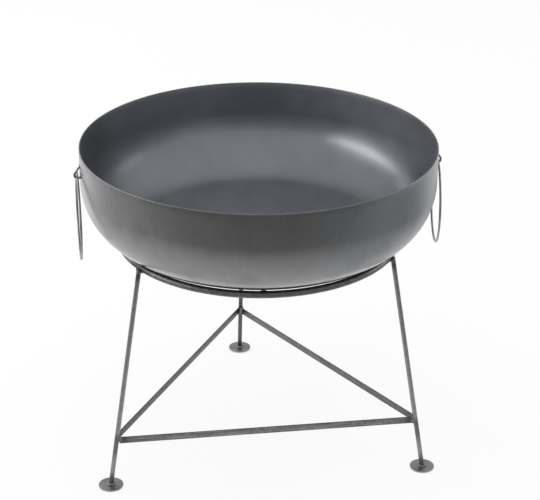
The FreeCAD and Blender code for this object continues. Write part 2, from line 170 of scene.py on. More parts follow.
def pick_edges(test):
    """Selects the edges that pass the test, which is given the places of an edge's two ends."""
    bpy.ops.mesh.select_all(action="DESELECT")
    bpy.ops.mesh.select_mode(type="EDGE")
    data = bpy.context.object.data
    mesh = bmesh.from_edit_mesh(data)
    for edge in mesh.edges:
        edge.select_set(test(*[vertex.co for vertex in edge.verts]))
    mesh.select_flush_mode()
    bmesh.update_edit_mesh(data)


def push(x=0.0, y=0.0, z=0.0):
    """Extrudes what is selected."""
    bpy.ops.mesh.extrude_region_move(TRANSFORM_OT_translate={"value": (x, y, z)})


def sweep(centre, axis, angle, steps):
    """Spins what is selected about an axis. The operator counts the angle the other way round."""
    bpy.ops.mesh.spin(steps=steps, angle=math.radians(-angle), center=centre, axis=axis)


def apply_place(piece):
    """Moves a piece's place, turn and scale into its mesh."""
    choose(piece)
    bpy.ops.object.transform_apply(location=True, rotation=True, scale=True)


def turn_mesh(piece, angle):
    """Turns a piece modelled along +X to its place round the axis."""
    piece.data.transform(Matrix.Rotation(math.radians(angle), 4, "Z"))


def modify(piece, kind, **values):
    """Adds a modifier and applies it."""
    choose(piece)
    bpy.ops.object.modifier_add(type=kind)
    modifier = piece.modifiers[-1]
    for key, value in values.items():
        setattr(modifier, key, value)
    bpy.ops.object.modifier_apply(modifier=modifier.name)


def smooth(piece, angle):
    """Shades a piece smooth, except for edges sharper than the angle."""
    choose(piece)
    bpy.ops.object.shade_smooth_by_angle(angle=math.radians(angle))


def finish_piece(piece, body, node, slot, *materials):
    """Dresses a finished piece and lets it stand for its node."""
    for material in materials:
        piece.data.materials.append(material)
    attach(piece, body)
    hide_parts(node)


def out_from_axis(radius, height):
    """A point of a piece that is modelled along +X."""
    return Vector((radius, 0, height))


# Materials

def shader(tree, kind, inputs=None, **settings):
    """Adds a node. An input that is another node's socket is linked."""
    made = tree.nodes.new(kind)
    for key, value in settings.items():
        setattr(made, key, value)
    for key, value in (inputs or {}).items():
        if isinstance(value, bpy.types.NodeSocket):
            tree.links.new(value, made.inputs[key])
        else:
            made.inputs[key].default_value = value
    return made


def maths(tree, operation, *values):
    """The result of a sum on numbers or sockets."""
    return shader(tree, "ShaderNodeMath", dict(enumerate(values)), operation=operation).outputs[0]


def span(tree, value, low, high, to_low=0.0, to_high=1.0):
    """Eases from one value to another as the input passes from low to high."""
    inputs = {"Value": value, "From Min": low, "From Max": high, "To Min": to_low, "To Max": to_high}
    return shader(tree, "ShaderNodeMapRange", inputs, interpolation_type="SMOOTHSTEP").outputs[0]


class Steel:
    """A raw steel material: its place on the piece, its mottling, then what a finish adds."""

    def __init__(self, name, dark, light, mottle_size):
        self.material, self.tree = new_material(name)
        self.place = shader(self.tree, "ShaderNodeTexCoord").outputs["Object"]
        self.x, self.y, self.z = shader(self.tree, "ShaderNodeSeparateXYZ", {0: self.place}).outputs
        self.mottle = self.noise(1 / mottle_size, 4.0, 0.6)
        self.grain = self.noise(2500.0, 2.0)
        self.colour = (*dark, 1.0)
        self.tint(self.span(self.mottle, 0.3, 0.7), light)

    def maths(self, operation, *values):
        return maths(self.tree, operation, *values)

    def times(self, first, second):
        return self.maths("MULTIPLY", first, second)

    def span(self, value, low, high, to_low=0.0, to_high=1.0):
        return span(self.tree, value, low, high, to_low, to_high)

    def radius(self):
        """How far a point is from the axis."""
        squares = [self.times(side, side) for side in (self.x, self.y)]
        return self.maths("SQRT", self.maths("ADD", *squares))

    def turn(self):
        """The angle of a point round the axis, in radians."""
        return self.maths("ARCTAN2", self.y, self.x)

    def near(self, value, middle, reach):
        """1 at the middle of a stretch, falling to 0 at a reach from it."""
        return self.span(self.maths("ABSOLUTE", self.maths("SUBTRACT", value, middle)), 0.0, reach, 1.0, 0.0)

    def near_any(self, value, stretches):
        """The same for several stretches, each given by its middle and its reach."""
        (middle, reach), *others = stretches
        nearest = self.near(value, middle, reach)
        for middle, reach in others:
            nearest = self.maths("MAXIMUM", nearest, self.near(value, middle, reach))
        return nearest

    def noise(self, scale, detail=3.0, roughness=0.55, place=None):
        inputs = {"Vector": place or self.place, "Scale": scale, "Detail": detail, "Roughness": roughness}
        return shader(self.tree, "ShaderNodeTexNoise", inputs).outputs["Fac"]

    def stretched_noise(self, x, y, z, detail=3.0, roughness=0.55, scale=1.0):
        """Noise on coordinates of its own, for streaks."""
        place = shader(self.tree, "ShaderNodeCombineXYZ", {0: x, 1: y, 2: z}).outputs[0]
        return self.noise(scale, detail, roughness, place)

    def tint(self, factor, colour):
        """Mixes a colour over the steel. The node's colours are its inputs 6 and 7 and its output 2."""
        inputs = {0: factor, 6: self.colour, 7: (*colour, 1.0)}
        self.colour = shader(self.tree, "ShaderNodeMix", inputs, data_type="RGBA").outputs[2]

    def finish(self, roughness, relief, bump_strength, bump_distance=0.0002):
        """Joins colour, roughness and relief to the shader."""
        inputs = {"Strength": bump_strength, "Distance": bump_distance, "Height": relief}
        normal = shader(self.tree, "ShaderNodeBump", inputs).outputs[0]
        inputs = {"Base Color": self.colour, "Metallic": 1.0, "Roughness": roughness, "Normal": normal}
        show(self.tree, shader(self.tree, "ShaderNodeBsdfPrincipled", inputs))
        return self.material


def new_material(name):
    """A material with an empty node tree."""
    material = bpy.data.materials.new(name)
    material.use_nodes = True
    material.node_tree.nodes.clear()
    return material, material.node_tree


def show(tree, surface, output="ShaderNodeOutputMaterial"):
    """Joins a shader to the output of its tree."""
    tree.links.new(surface.outputs[0], shader(tree, output).inputs["Surface"])


# Colours that are laid over the steel
RIGHT_SIDE_BLUE = (0.212, 0.234, 0.256)
STREAK_WHITE = (0.32, 0.32, 0.315)
SMUDGE_GREY = (0.165, 0.165, 0.165)
RUBBED_BRIGHT = (0.33, 0.33, 0.325)
HOOP_REFLECTION_BLACK = (0.09, 0.09, 0.09)
WALL_PAINTED_LIGHT = (0.404, 0.42, 0.45)
MILL_SCALE = (0.12, 0.118, 0.113)
HEAT_BROWN = (0.115, 0.105, 0.095)
HEAT_BLACK = (0.055, 0.055, 0.058)
SCUFF_GREY = (0.33, 0.33, 0.32)
HEAT_RING = (0.09, 0.084, 0.078)
SOOT = (0.08, 0.08, 0.082)
BURNT_WELD = (0.085, 0.084, 0.082)
WIRE_SCALE = (0.14, 0.137, 0.132)

# Outside, the bowl has a painted shade and reflection of the hoop, solid up to the first height and
# gone from the second. It is polished up to the second height and satin from the third.
HOOP_REFLECTION_SOLID_HEIGHT = HOOP_HEIGHT + 0.01
HOOP_REFLECTION_TOP_HEIGHT = HOOP_HEIGHT + 0.02
POLISH_TOP_HEIGHT = HOOP_HEIGHT + 0.045
# Inside, painted light on the wall starts at this height.
WALL_LIGHT_BOTTOM_HEIGHT = KNUCKLE_HEIGHT - 0.045

# Where welding has browned and blackened the bars: the middle of each stretch and its reach.
# A leg's stretches are heights, and a brace's are distances from the axis.
LEG_BROWNED = [(FOOT_THICKNESS, 0.035), (BRACE_HEIGHT - 0.022, 0.022), (HOOP_HEIGHT, 0.035)]
LEG_BLACKENED = [
    (FOOT_THICKNESS + 0.012, 0.012),
    (BRACE_HEIGHT - 0.004, 0.014),
    (HOOP_HEIGHT - 0.012, 0.012),
]
BRACE_BROWNED = (BRACE_CIRCLE_RADIUS, 0.045)
BRACE_BLACKENED = (BRACE_CIRCLE_RADIUS - 0.009, 0.008)
FOOT_HEAT_REACH = 0.014
BURNT_WELD_START, BURNT_WELD_END = HOOP_HEIGHT - 0.01, HOOP_HEIGHT + 0.002


def bowl_outside():
    """Spun sheet outside: satin, smudged, faintly streaked; painted hoop shade and reflection low down."""
    steel = Steel("bowl_outside_steel", (0.235, 0.236, 0.238), (0.265, 0.265, 0.265), 0.09)
    # Bluer towards the right side.
    steel.tint(steel.span(steel.x, 0.02, 0.26, 0.0, 0.8), RIGHT_SIDE_BLUE)
    streaks = steel.stretched_noise(steel.times(steel.turn(), 45.0), 0.0, steel.times(steel.z, 9.0), 4.0, 0.6)
    steel.tint(steel.span(streaks, 0.45, 0.75, 0.0, 0.2), STREAK_WHITE)
    smudges = steel.noise(11.0, 3.0, 0.6)
    steel.tint(steel.span(smudges, 0.48, 0.7, 0.0, 0.5), SMUDGE_GREY)
    rubs = steel.noise(34.0, 4.0, 0.7)
    steel.tint(steel.span(rubs, 0.56, 0.76, 0.0, 0.35), RUBBED_BRIGHT)
    # Painted shade and reflection of the hoop: dark low on the bowl, fading out just above the hoop.
    steel.tint(steel.span(steel.z, HOOP_REFLECTION_SOLID_HEIGHT, HOOP_REFLECTION_TOP_HEIGHT, 0.6, 0.0), HOOP_REFLECTION_BLACK)
    spinning = steel.stretched_noise(steel.radius(), 0.0, steel.z, 2.0, scale=900.0)
    relief = steel.maths("ADD", steel.times(steel.grain, 0.5), spinning)
    satin = steel.span(steel.mottle, 0.25, 0.75, 0.29, 0.35)
    polish = steel.span(steel.z, HOOP_REFLECTION_TOP_HEIGHT, POLISH_TOP_HEIGHT, 0.5, 1.0)
    return steel.finish(steel.times(satin, polish), relief, 0.12, 0.0001)


def bowl_inside():
    """Spun sheet inside: slate blue, with a duller wall and painted light on it, strongest right and low."""
    steel = Steel("bowl_inside_steel", (0.256, 0.268, 0.291), (0.291, 0.304, 0.328), 0.07)
    # Painted light on the wall: strongest just above the knuckle on the right, half as strong at the rim,
    # faint further left.
    wall = steel.span(steel.z, WALL_LIGHT_BOTTOM_HEIGHT, KNUCKLE_HEIGHT)
    towards_rim = steel.span(steel.z, KNUCKLE_HEIGHT, RIM_HEIGHT, 1.0, 0.5)
    towards_right = steel.span(steel.x, 0.12, 0.29, 0.1, 1.0)
    steel.tint(steel.times(wall, steel.times(towards_rim, towards_right)), WALL_PAINTED_LIGHT)
    spinning = steel.stretched_noise(steel.radius(), 0.0, steel.z, 2.0, scale=700.0)
    relief = steel.maths("ADD", steel.times(steel.grain, 0.5), spinning)
    satin = steel.span(steel.mottle, 0.25, 0.75, 0.3, 0.35)
    return steel.finish(steel.maths("ADD", satin, steel.times(wall, 0.1)), relief, 0.12, 0.0001)


def rim_edge():
    """The sheet's edge, rubbed bright."""
    steel = Steel("rim_edge_steel", (0.2, 0.2, 0.198), (0.28, 0.28, 0.277), 0.012)
    return steel.finish(steel.span(steel.mottle, 0.3, 0.7, 0.3, 0.45), steel.grain, 0.3)


def bar_steel(name, dark, light, heated, streaked=0.0):
    """Bar with mill scale, browned and blackened by its welds. Flat bar is streaked lengthways too."""
    steel = Steel(name, dark, light, 0.006)
    scale = steel.noise(420.0, 4.0, 0.65)
    steel.tint(steel.span(scale, 0.55, 0.8, 0.0, 0.25), MILL_SCALE)
    if streaked:
        x, y = [steel.times(side, 14.0) for side in (steel.x, steel.y)]
        drawn = steel.stretched_noise(x, y, steel.times(steel.z, 420.0))
        steel.tint(steel.span(drawn, 0.5, 0.68, 0.0, streaked), [shade * 1.7 for shade in light])
        steel.tint(steel.span(drawn, 0.32, 0.46, streaked, 0.0), [shade * 0.45 for shade in dark])
    brown, black = heated(steel)
    steel.tint(steel.times(brown, steel.span(steel.mottle, 0.2, 0.6, 0.35, 0.8)), HEAT_BROWN)
    steel.tint(steel.times(black, steel.span(scale, 0.25, 0.6, 0.3, 0.7)), HEAT_BLACK)
    relief = steel.maths("ADD", scale, steel.times(steel.grain, 0.4))
    return steel.finish(steel.span(scale, 0.3, 0.75, 0.34, 0.55), relief, 0.35, 0.0003)


def leg_heat(steel):
    """How brown and how black a leg is: brown beside its three welds and black close to them."""
    return steel.near_any(steel.z, LEG_BROWNED), steel.near_any(steel.z, LEG_BLACKENED)


def brace_heat(steel):
    """How brown and how black a brace is, towards its ends."""
    radius = steel.radius()
    return steel.near(radius, *BRACE_BROWNED), steel.near(radius, *BRACE_BLACKENED)


def hoop_heat(steel):
    """How brown and how black the hoop is, on both sides of each leg."""
    from_leg = steel.maths("SUBTRACT", steel.turn(), math.radians(LEG_ANGLES["back"]))
    wave = steel.maths("COSINE", steel.times(from_leg, float(len(LEG_ANGLES))))
    return steel.span(wave, 0.93, 1.0), steel.span(wave, 0.9, 0.98)


def foot_steel():
    """A cut disc: satin, scuffed, with a heat ring round its weld."""
    steel = Steel("foot_disc_steel", (0.28, 0.278, 0.272), (0.37, 0.368, 0.36), 0.009)
    scuffs = steel.stretched_noise(steel.times(steel.x, 300.0), steel.times(steel.y, 2200.0), 0.0)
    steel.tint(steel.span(scuffs, 0.55, 0.8, 0.0, 0.4), SCUFF_GREY)
    ring = steel.near(steel.radius(), FOOT_CIRCLE_RADIUS, FOOT_HEAT_REACH)
    steel.tint(steel.times(ring, 0.2), HEAT_RING)
    relief = steel.maths("ADD", steel.grain, scuffs)
    return steel.finish(steel.span(steel.mottle, 0.3, 0.7, 0.3, 0.45), relief, 0.25)


def weld_steel():
    """Weld bead as laid: silver on its ripples, sooty between them and burnt dark at the hoop."""
    steel = Steel("weld_bead_steel", (0.24, 0.248, 0.262), (0.42, 0.428, 0.44), 0.0022)
    steel.tint(steel.span(steel.noise(260.0), 0.5, 0.72, 0.0, 0.5), SOOT)
    steel.tint(steel.span(steel.z, BURNT_WELD_START, BURNT_WELD_END, 0.35, 0.85), BURNT_WELD)
    return steel.finish(steel.span(steel.mottle, 0.3, 0.7, 0.28, 0.5), steel.mottle, 0.35, 0.0004)


def wire_steel():
    """Drawn wire of the rings and eyes."""
    steel = Steel("handle_wire_steel", (0.27, 0.268, 0.262), (0.37, 0.367, 0.36), 0.008)
    scale = steel.noise(600.0)
    steel.tint(steel.span(scale, 0.55, 0.8, 0.0, 0.45), WIRE_SCALE)
    return steel.finish(steel.span(scale, 0.3, 0.7, 0.3, 0.45), scale, 0.25)


def tab_steel():
    """A dark steel block, made near black with painted shade from the bowl above."""
    steel = Steel("rest_tab_steel", (0.014, 0.014, 0.015), (0.03, 0.03, 0.031), 0.003)
    return steel.finish(steel.span(steel.mottle, 0.3, 0.7, 0.45, 0.6), steel.grain, 0.3)


# The bowl

def arc_stations(centre_radius, centre_height, radius, start, end, count):
    """Radius and height along an arc of the bowl's section, without its first point."""
    stations = []
    for step in range(1, count + 1):
        angle = math.radians(start + (end - start) * step / count)
        stations.append((centre_radius + radius * math.cos(angle), centre_height + radius * math.sin(angle)))
    return stations


def wall_stations(radius, start, end):
    """Radius and height up or down the wall, without the first point."""
    return [(radius, start + (end - start) * step / WALL_STEPS) for step in range(1, WALL_STEPS + 1)]


def bowl_section():
    """The section from the middle underneath, round the rim, to the middle inside."""
    corner = CROWN_ANGLE - 90
    lip_radius, lip_height = RIM_RADIUS - SHEET / 2, RIM_HEIGHT - SHEET / 2
    section = arc_stations(0, CROWN_HEIGHT, CROWN_RADIUS, -90, corner, CROWN_STEPS)
    section += arc_stations(KNUCKLE_CIRCLE, KNUCKLE_HEIGHT, KNUCKLE_RADIUS, corner, 0, KNUCKLE_STEPS)
    section += wall_stations(RIM_RADIUS, KNUCKLE_HEIGHT, lip_height)
    section += arc_stations(lip_radius, lip_height, SHEET / 2, 0, 180, LIP_STEPS)
    section += wall_stations(RIM_RADIUS - SHEET, lip_height, KNUCKLE_HEIGHT)
    section += arc_stations(KNUCKLE_CIRCLE, KNUCKLE_HEIGHT, KNUCKLE_RADIUS - SHEET, 0, corner, KNUCKLE_STEPS)
    section += arc_stations(0, CROWN_HEIGHT, CROWN_RADIUS - SHEET, corner, -90, CROWN_STEPS)[:-1]
    return section


def make_bowl():
    """Drawn ring by ring from the middle underneath, over the rim and down to the middle inside."""
    section = bowl_section()
    radius, height = section[0]
    bowl = begin(bpy.ops.mesh.primitive_circle_add, "bowl_shell", vertices=BOWL_SIDES, radius=radius,
                 fill_type="TRIFAN", location=(0, 0, 0))
    edit(bowl)
    bpy.ops.transform.translate(value=(0, 0, height))
    pick_edges(lambda one, other: min(one.xy.length, other.xy.length) > radius / 2)
    for next_radius, next_height in section[1:]:
        push(z=next_height - height)
        bpy.ops.transform.resize(value=(next_radius / radius, next_radius / radius, 1))
        radius, height = next_radius, next_height
    push()
    bpy.ops.mesh.merge(type="CENTER")
    leave()
    smooth(bowl, ROUND_EDGE)
    finish_piece(bowl, "bowl", "fire_bowl", "bowl_steel", bowl_outside(), bowl_inside(), rim_edge())
    outside, inside, edge = range(3)
    for face in bowl.data.polygons:
        if face.center.z > RIM_HEIGHT - SHEET / 2:
            face.material_index = edge
        else:
            above = Vector((0, 0, CROWN_HEIGHT)) - face.center
            face.material_index = inside if face.normal.dot(above) > 0 else outside


# The stand

def make_hoop(material):
    """Round bar bent to a hoop."""
    hoop = begin(bpy.ops.mesh.primitive_circle_add, "hoop_bar", vertices=BAR_SIDES, radius=HOOP_BAR / 2,
                 location=out_from_axis(HOOP_RADIUS, HOOP_HEIGHT), rotation=(math.radians(90), 0, 0))
    apply_place(hoop)
    edit(hoop)
    sweep((0, 0, HOOP_HEIGHT), (0, 0, 1), 360, HOOP_STEPS)
    leave()
    smooth(hoop, ROUND_EDGE)
    finish_piece(hoop, "stand", "support_hoop", "stand_steel", material)


def make_leg(name, material):
    """A round bar from its foot to the outer side of the hoop, with a cut top end."""
    foot = out_from_axis(FOOT_CIRCLE_RADIUS, FOOT_THICKNESS)
    length = (out_from_axis(LEG_TOP_RADIUS, HOOP_HEIGHT) - foot).length
    leg = begin(bpy.ops.mesh.primitive_circle_add, "leg_bar_" + name, vertices=BAR_SIDES,
                radius=LEG_BAR / 2, fill_type="NGON", location=(0, 0, 0))
    edit(leg)
    for _ in range(LEG_STEPS):
        push(z=length / LEG_STEPS)
    pick_edges(lambda one, other: min(one.z, other.z) > length - CUT_BEVEL / 2)
    bpy.ops.mesh.bevel(offset=CUT_BEVEL, segments=2)
    leave()
    leg.data.transform(Matrix.Translation(foot) @ Matrix.Rotation(math.radians(-LEG_LEAN), 4, "Y"))
    turn_mesh(leg, LEG_ANGLES[name])
    smooth(leg, CUT_EDGE)
    finish_piece(leg, "stand", "leg_" + name, "stand_steel", material)


def make_foot(name, material):
    """A cut disc with eased edges."""
    foot = begin(bpy.ops.mesh.primitive_circle_add, "foot_disc_" + name, vertices=FOOT_SIDES,
                 radius=FOOT_DIAMETER / 2, fill_type="NGON", location=(FOOT_CIRCLE_RADIUS, 0, 0))
    apply_place(foot)
    edit(foot)
    push(z=FOOT_THICKNESS)
    pick_edges(lambda one, other: min(one.z, other.z) > FOOT_THICKNESS / 2)
    bpy.ops.mesh.bevel(offset=FOOT_UPPER_BEVEL, segments=3)
    pick_edges(lambda one, other: max(one.z, other.z) < FOOT_THICKNESS / 4)
    bpy.ops.mesh.bevel(offset=FOOT_LOWER_BEVEL, segments=2)
    leave()
    turn_mesh(foot, LEG_ANGLES[name])
    smooth(foot, CUT_EDGE)
    finish_piece(foot, "stand", "foot_" + name, "foot_steel", material)


def make_brace(name, material):
    """A flat bar on edge between two legs."""
    start, end = BRACE_ENDS[name]
    circle = leg_circle((start + end) / 2)
    length = 2 * circle * math.sin(math.radians(HALF_BAY)) - LEG_BAR
    brace = begin(bpy.ops.mesh.primitive_plane_add, "brace_bar_" + name, size=1,
                  location=(0, -length / 2, 0), rotation=(math.radians(90), 0, 0))
    brace.scale = (BRACE_THICKNESS, BRACE_DEPTH, 1)
    apply_place(brace)
    edit(brace)
    for _ in range(BRACE_STEPS):
        push(y=length / BRACE_STEPS)
    pick_edges(lambda one, other: abs(one.y - other.y) > abs(one.x - other.x) + abs(one.z - other.z))
    bpy.ops.mesh.bevel(offset=BRACE_BEVEL, segments=3)
    leave()
    middle = out_from_axis(circle * math.cos(math.radians(HALF_BAY)), (start + end) / 2)
    slope = Matrix.Rotation(math.atan2(end - start, length), 4, "X")
    brace.data.transform(Matrix.Translation(middle) @ slope)
    turn_mesh(brace, BRACE_ANGLES[name])
    smooth(brace, CUT_EDGE)
    finish_piece(brace, "stand", "brace_" + name, "brace_steel", material)


def make_tab(name, material):
    """A small block that stands on the hoop and carries the bowl."""
    tab = begin(bpy.ops.mesh.primitive_plane_add, "rest_block_" + name, size=1, location=(0, 0, 0))
    tab.scale = (TAB_DEPTH, TAB_WIDTH, 1)
    apply_place(tab)
    edit(tab)
    push(z=HOOP_BAR / 2 + TAB_RISE)
    bpy.ops.mesh.select_all(action="SELECT")
    bpy.ops.mesh.bevel(offset=CUT_BEVEL, segments=2)
    leave()
    tilt = Matrix.Rotation(math.radians(-TAB_TILT), 4, "Y")
    tab.data.transform(Matrix.Translation(out_from_axis(HOOP_RADIUS, HOOP_HEIGHT)) @ tilt)
    turn_mesh(tab, TAB_ANGLES[name])
    smooth(tab, CUT_EDGE)
    finish_piece(tab, "stand", "rest_tab_" + name, "tab_steel", material)


# Welds

# Radii of the drops of weld: outwards, sideways and upwards
FOOT_DROP = (0.0031, 0.0031, 0.0027)
FOOT_MIDDLE_DROP = (0.0046, 0.0046, 0.0028)
HOOP_CORNER_DROP = (0.0024, 0.0026, 0.0023)
HOOP_TOP_DROP = (0.0026, 0.0028, 0.0018)
BRACE_DROP = (0.0046, 0.0056, 0.0023)
# How fine the skin over the drops is
STAND_WELD_GRAIN = 0.00035
EYE_WELD_GRAIN = 0.00025
# The legs' welds are drawn from seeds 0 to 2, and the handles' from this one on.
HANDLE_SEED = 10


def drop(place, size, seed):
    """One drop of weld, a little uneven."""
    blob = begin(bpy.ops.mesh.primitive_ico_sphere_add, "drop", subdivisions=3, radius=1, location=place)
    blob.scale = [side * seed.uniform(0.9, 1.1) for side in size]
    blob.rotation_euler = [seed.uniform(-0.3, 0.3) for _ in range(3)]
    apply_place(blob)
    return blob


def finish_weld(name, drops, grain, angle, material, body, node):
    """Joins drops of weld into one skin and turns it to its place."""
    choose(drops[0])
    for blob in drops:
        blob.select_set(True)
    bpy.ops.object.join()
    bead = bpy.context.object
    bead.name = bead.data.name = name
    modify(bead, "REMESH", mode="VOXEL", voxel_size=grain)
    modify(bead, "SMOOTH", factor=0.5, iterations=2)
    smooth(bead, WELD_EDGE)
    turn_mesh(bead, angle)
    finish_piece(bead, body, node, "weld_steel", material)


def make_foot_weld(name, material, seed):
    """Drops laid round the foot of a leg, and one in their middle."""
    count, ring, wander = 9, 0.0045, 0.0004
    ring_height, middle_height = FOOT_THICKNESS + 0.0009, FOOT_THICKNESS + 0.0018
    drops = []
    for step in range(count):
        angle = math.tau * step / count
        out = ring + seed.uniform(-wander, wander)
        place = (FOOT_CIRCLE_RADIUS + out * math.cos(angle), out * math.sin(angle), ring_height)
        drops.append(drop(place, FOOT_DROP, seed))
    drops.append(drop(out_from_axis(FOOT_CIRCLE_RADIUS, middle_height), FOOT_MIDDLE_DROP, seed))
    finish_weld("foot_bead_" + name, drops, STAND_WELD_GRAIN, LEG_ANGLES[name], material,
                "stand", "foot_weld_" + name)


def make_hoop_weld(name, material, seed):
    """Drops that run up the leg and spread under the hoop, and a bump on top of it."""
    count, first_fall, fall_step, inset = 6, 0.0025, 0.0019, 0.0006
    first_spread, spread_step, depth_share, rise = 0.0062, 0.00062, 0.78, 0.0021
    corner_out, corner_aside, corner_fall = 0.0033, 0.0052, 0.0042
    top_out, top_aside, top_sunk = 0.0016, 0.0006, 0.0002
    drops = []
    for step in range(count):
        height = HOOP_HEIGHT - first_fall - fall_step * step
        spread = first_spread - spread_step * step
        middle = out_from_axis(leg_circle(height) - inset, height)
        drops.append(drop(middle, (spread * depth_share, spread, rise), seed))
    for side in (-1, 1):
        corner = (HOOP_RADIUS + corner_out, side * corner_aside, HOOP_HEIGHT - corner_fall)
        drops.append(drop(corner, HOOP_CORNER_DROP, seed))
    top = (HOOP_RADIUS + top_out, top_aside, HOOP_HEIGHT + HOOP_BAR / 2 - top_sunk)
    drops.append(drop(top, HOOP_TOP_DROP, seed))
    finish_weld("hoop_bead_" + name, drops, STAND_WELD_GRAIN, LEG_ANGLES[name], material,
                "stand", "hoop_weld_" + name)


def make_brace_weld(name, material, seed):
    """Drops up and down the corner where two braces meet a leg."""
    count, pitch, inset = 6, 0.0022, 0.0046
    middle = BRACE_WELD_HEIGHTS[name]
    drops = []
    for step in range(count):
        height = middle + pitch * (step - (count - 1) / 2)
        drops.append(drop(out_from_axis(leg_circle(middle) - inset, height), BRACE_DROP, seed))
    finish_weld("brace_bead_" + name, drops, STAND_WELD_GRAIN, LEG_ANGLES[name], material,
                "stand", "brace_weld_" + name)


# The handles

def eye_turn():
    """The angle of the eye's upper bend, from its upright to the slope back to the wall."""
    across = EYE_ROOT_RADIUS - EYE_REACH_RADIUS + EYE_BEND
    up = EYE_RISE - EYE_STRAIGHT
    return math.degrees(math.atan2(up, across) - math.acos(EYE_BEND / math.hypot(across, up)))


def make_eye(side, material):
    """Bent wire: level out from the wall, up, and sloping back to the wall."""
    eye = begin(bpy.ops.mesh.primitive_circle_add, "eye_wire_" + side, vertices=WIRE_SIDES, radius=WIRE / 2,
                fill_type="NGON", location=out_from_axis(EYE_ROOT_RADIUS, EYE_HEIGHT),
                rotation=(0, math.radians(90), 0))
    apply_place(eye)
    turned = eye_turn()
    bend_radius = EYE_REACH_RADIUS - EYE_BEND
    slope_start = Vector((bend_radius + EYE_BEND * math.cos(math.radians(turned)), 0,
                          EYE_HEIGHT + EYE_STRAIGHT + EYE_BEND * math.sin(math.radians(turned))))
    slope = out_from_axis(EYE_ROOT_RADIUS, EYE_HEIGHT + EYE_RISE) - slope_start
    edit(eye)
    push(x=bend_radius - EYE_ROOT_RADIUS)
    sweep((bend_radius, 0, EYE_HEIGHT + EYE_BEND), (0, -1, 0), 90, EYE_STEPS)
    push(z=EYE_STRAIGHT - EYE_BEND)
    sweep((bend_radius, 0, EYE_HEIGHT + EYE_STRAIGHT), (0, -1, 0), turned, EYE_UPPER_STEPS)
    push(x=slope.x, z=slope.z)
    leave()
    turn_mesh(eye, HANDLE_ANGLES[side])
    smooth(eye, ROUND_EDGE)
    finish_piece(eye, "bowl", side + "_handle_eye", "handle_steel", material)


def make_eye_welds(side, material, seed):
    """A bead round each end of the eye. The upper end meets the wall at a slant, so its bead is wider."""
    count, sunk, depth = 6, 0.0001, 0.0011
    ring_share, drop_share, lower_spread, upper_spread = 0.45, 0.62, 0.0024, 0.0036
    upper = EYE_HEIGHT + EYE_RISE - WIRE / 2 / math.tan(math.radians(eye_turn()))
    drops = []
    for height, spread in ((EYE_HEIGHT, lower_spread), (upper, upper_spread)):
        size = (depth, spread * drop_share, spread * drop_share)
        for step in range(count):
            angle = math.tau * step / count
            aside, up = [spread * ring_share * turned for turned in (math.cos(angle), math.sin(angle))]
            drops.append(drop((RIM_RADIUS - sunk, aside, height + up), size, seed))
    finish_weld("eye_beads_" + side, drops, EYE_WELD_GRAIN, HANDLE_ANGLES[side], material,
                "bowl", side + "_eye_welds")


def make_ring(side, material):
    """Wire bent to a ring, hanging on the lower wire of its eye."""
    ring = begin(bpy.ops.mesh.primitive_circle_add, "ring_wire_" + side, vertices=WIRE_SIDES,
                 radius=WIRE / 2, location=(0, RING_RADIUS, 0))
    apply_place(ring)
    edit(ring)
    sweep((0, 0, 0), (1, 0, 0), 360, RING_STEPS)
    leave()
    hinge = Matrix.Translation(out_from_axis(RING_HINGE_RADIUS, RING_HINGE_HEIGHT))
    twisted = Matrix.Rotation(math.radians(RING_TWISTS[side]), 4, "Z")
    ring.data.transform(hinge @ twisted @ Matrix.Translation((0, 0, -RING_RADIUS)))
    turn_mesh(ring, HANDLE_ANGLES[side])
    smooth(ring, ROUND_EDGE)
    finish_piece(ring, side + "_ring", side + "_ring_handle", "handle_steel", material)


# The studio

CAMERA_TARGET = Vector((0.01986, 0, 0.35815))
CAMERA_DISTANCE = 2.9404
CAMERA_ELEVATION = 25.03
CAMERA_ROLL = 0.414
CAMERA_LENS = 113.93
# Painted light and shade pools that steel sees in the floor: middle, inner and outer radius, and how much.
MIRRORED_POOLS = [
    ((-0.25, 0.05, 0.0), 0.2, 1.6, 0.45),
    ((-0.92, 0.8, 0.0), 0.1, 0.6, 0.42),
    ((1.35, 0.3, 0.0), 0.1, 0.7, -0.3),
]
# Name, place, width and height, and watts of each lamp. They all face the bowl.
SOFTBOXES = [
    ("window_left", (-2.8, -0.15, 1.2), (3.4, 0.65), 31),
    ("window_back", (-2.0, 2.0, 1.4), (1.2, 0.5), 8),
    ("fill_right", (2.6, 0.9, 1.0), (1.6, 0.8), 7),
]
LAMP_TARGET = Vector((0, 0, 0.45))
ROOM_LIGHT = 0.65
WHITE = (1, 1, 1, 1)
# The camera sees the floor's glow and, for the shadow, a little lit white. Other light meets the
# plain floor.
FLOOR_GLOW = 0.82
FLOOR_LIT = (0.22, 0.22, 0.22, 1)
FLOOR_PLAIN = (0.8, 0.8, 0.8, 1)


def make_camera():
    """Looks at the bowl from the front and above, as the photograph does."""
    data = bpy.data.cameras.new("camera")
    data.lens = CAMERA_LENS
    camera = bpy.data.objects.new("camera", data)
    bpy.context.scene.collection.objects.link(camera)
    tip = Matrix.Rotation(math.radians(90 - CAMERA_ELEVATION), 4, "X")
    roll = Matrix.Rotation(math.radians(CAMERA_ROLL), 4, "Z")
    back = Matrix.Translation((0, 0, CAMERA_DISTANCE))
    camera.matrix_world = Matrix.Translation(CAMERA_TARGET) @ tip @ roll @ back
    bpy.context.scene.camera = camera


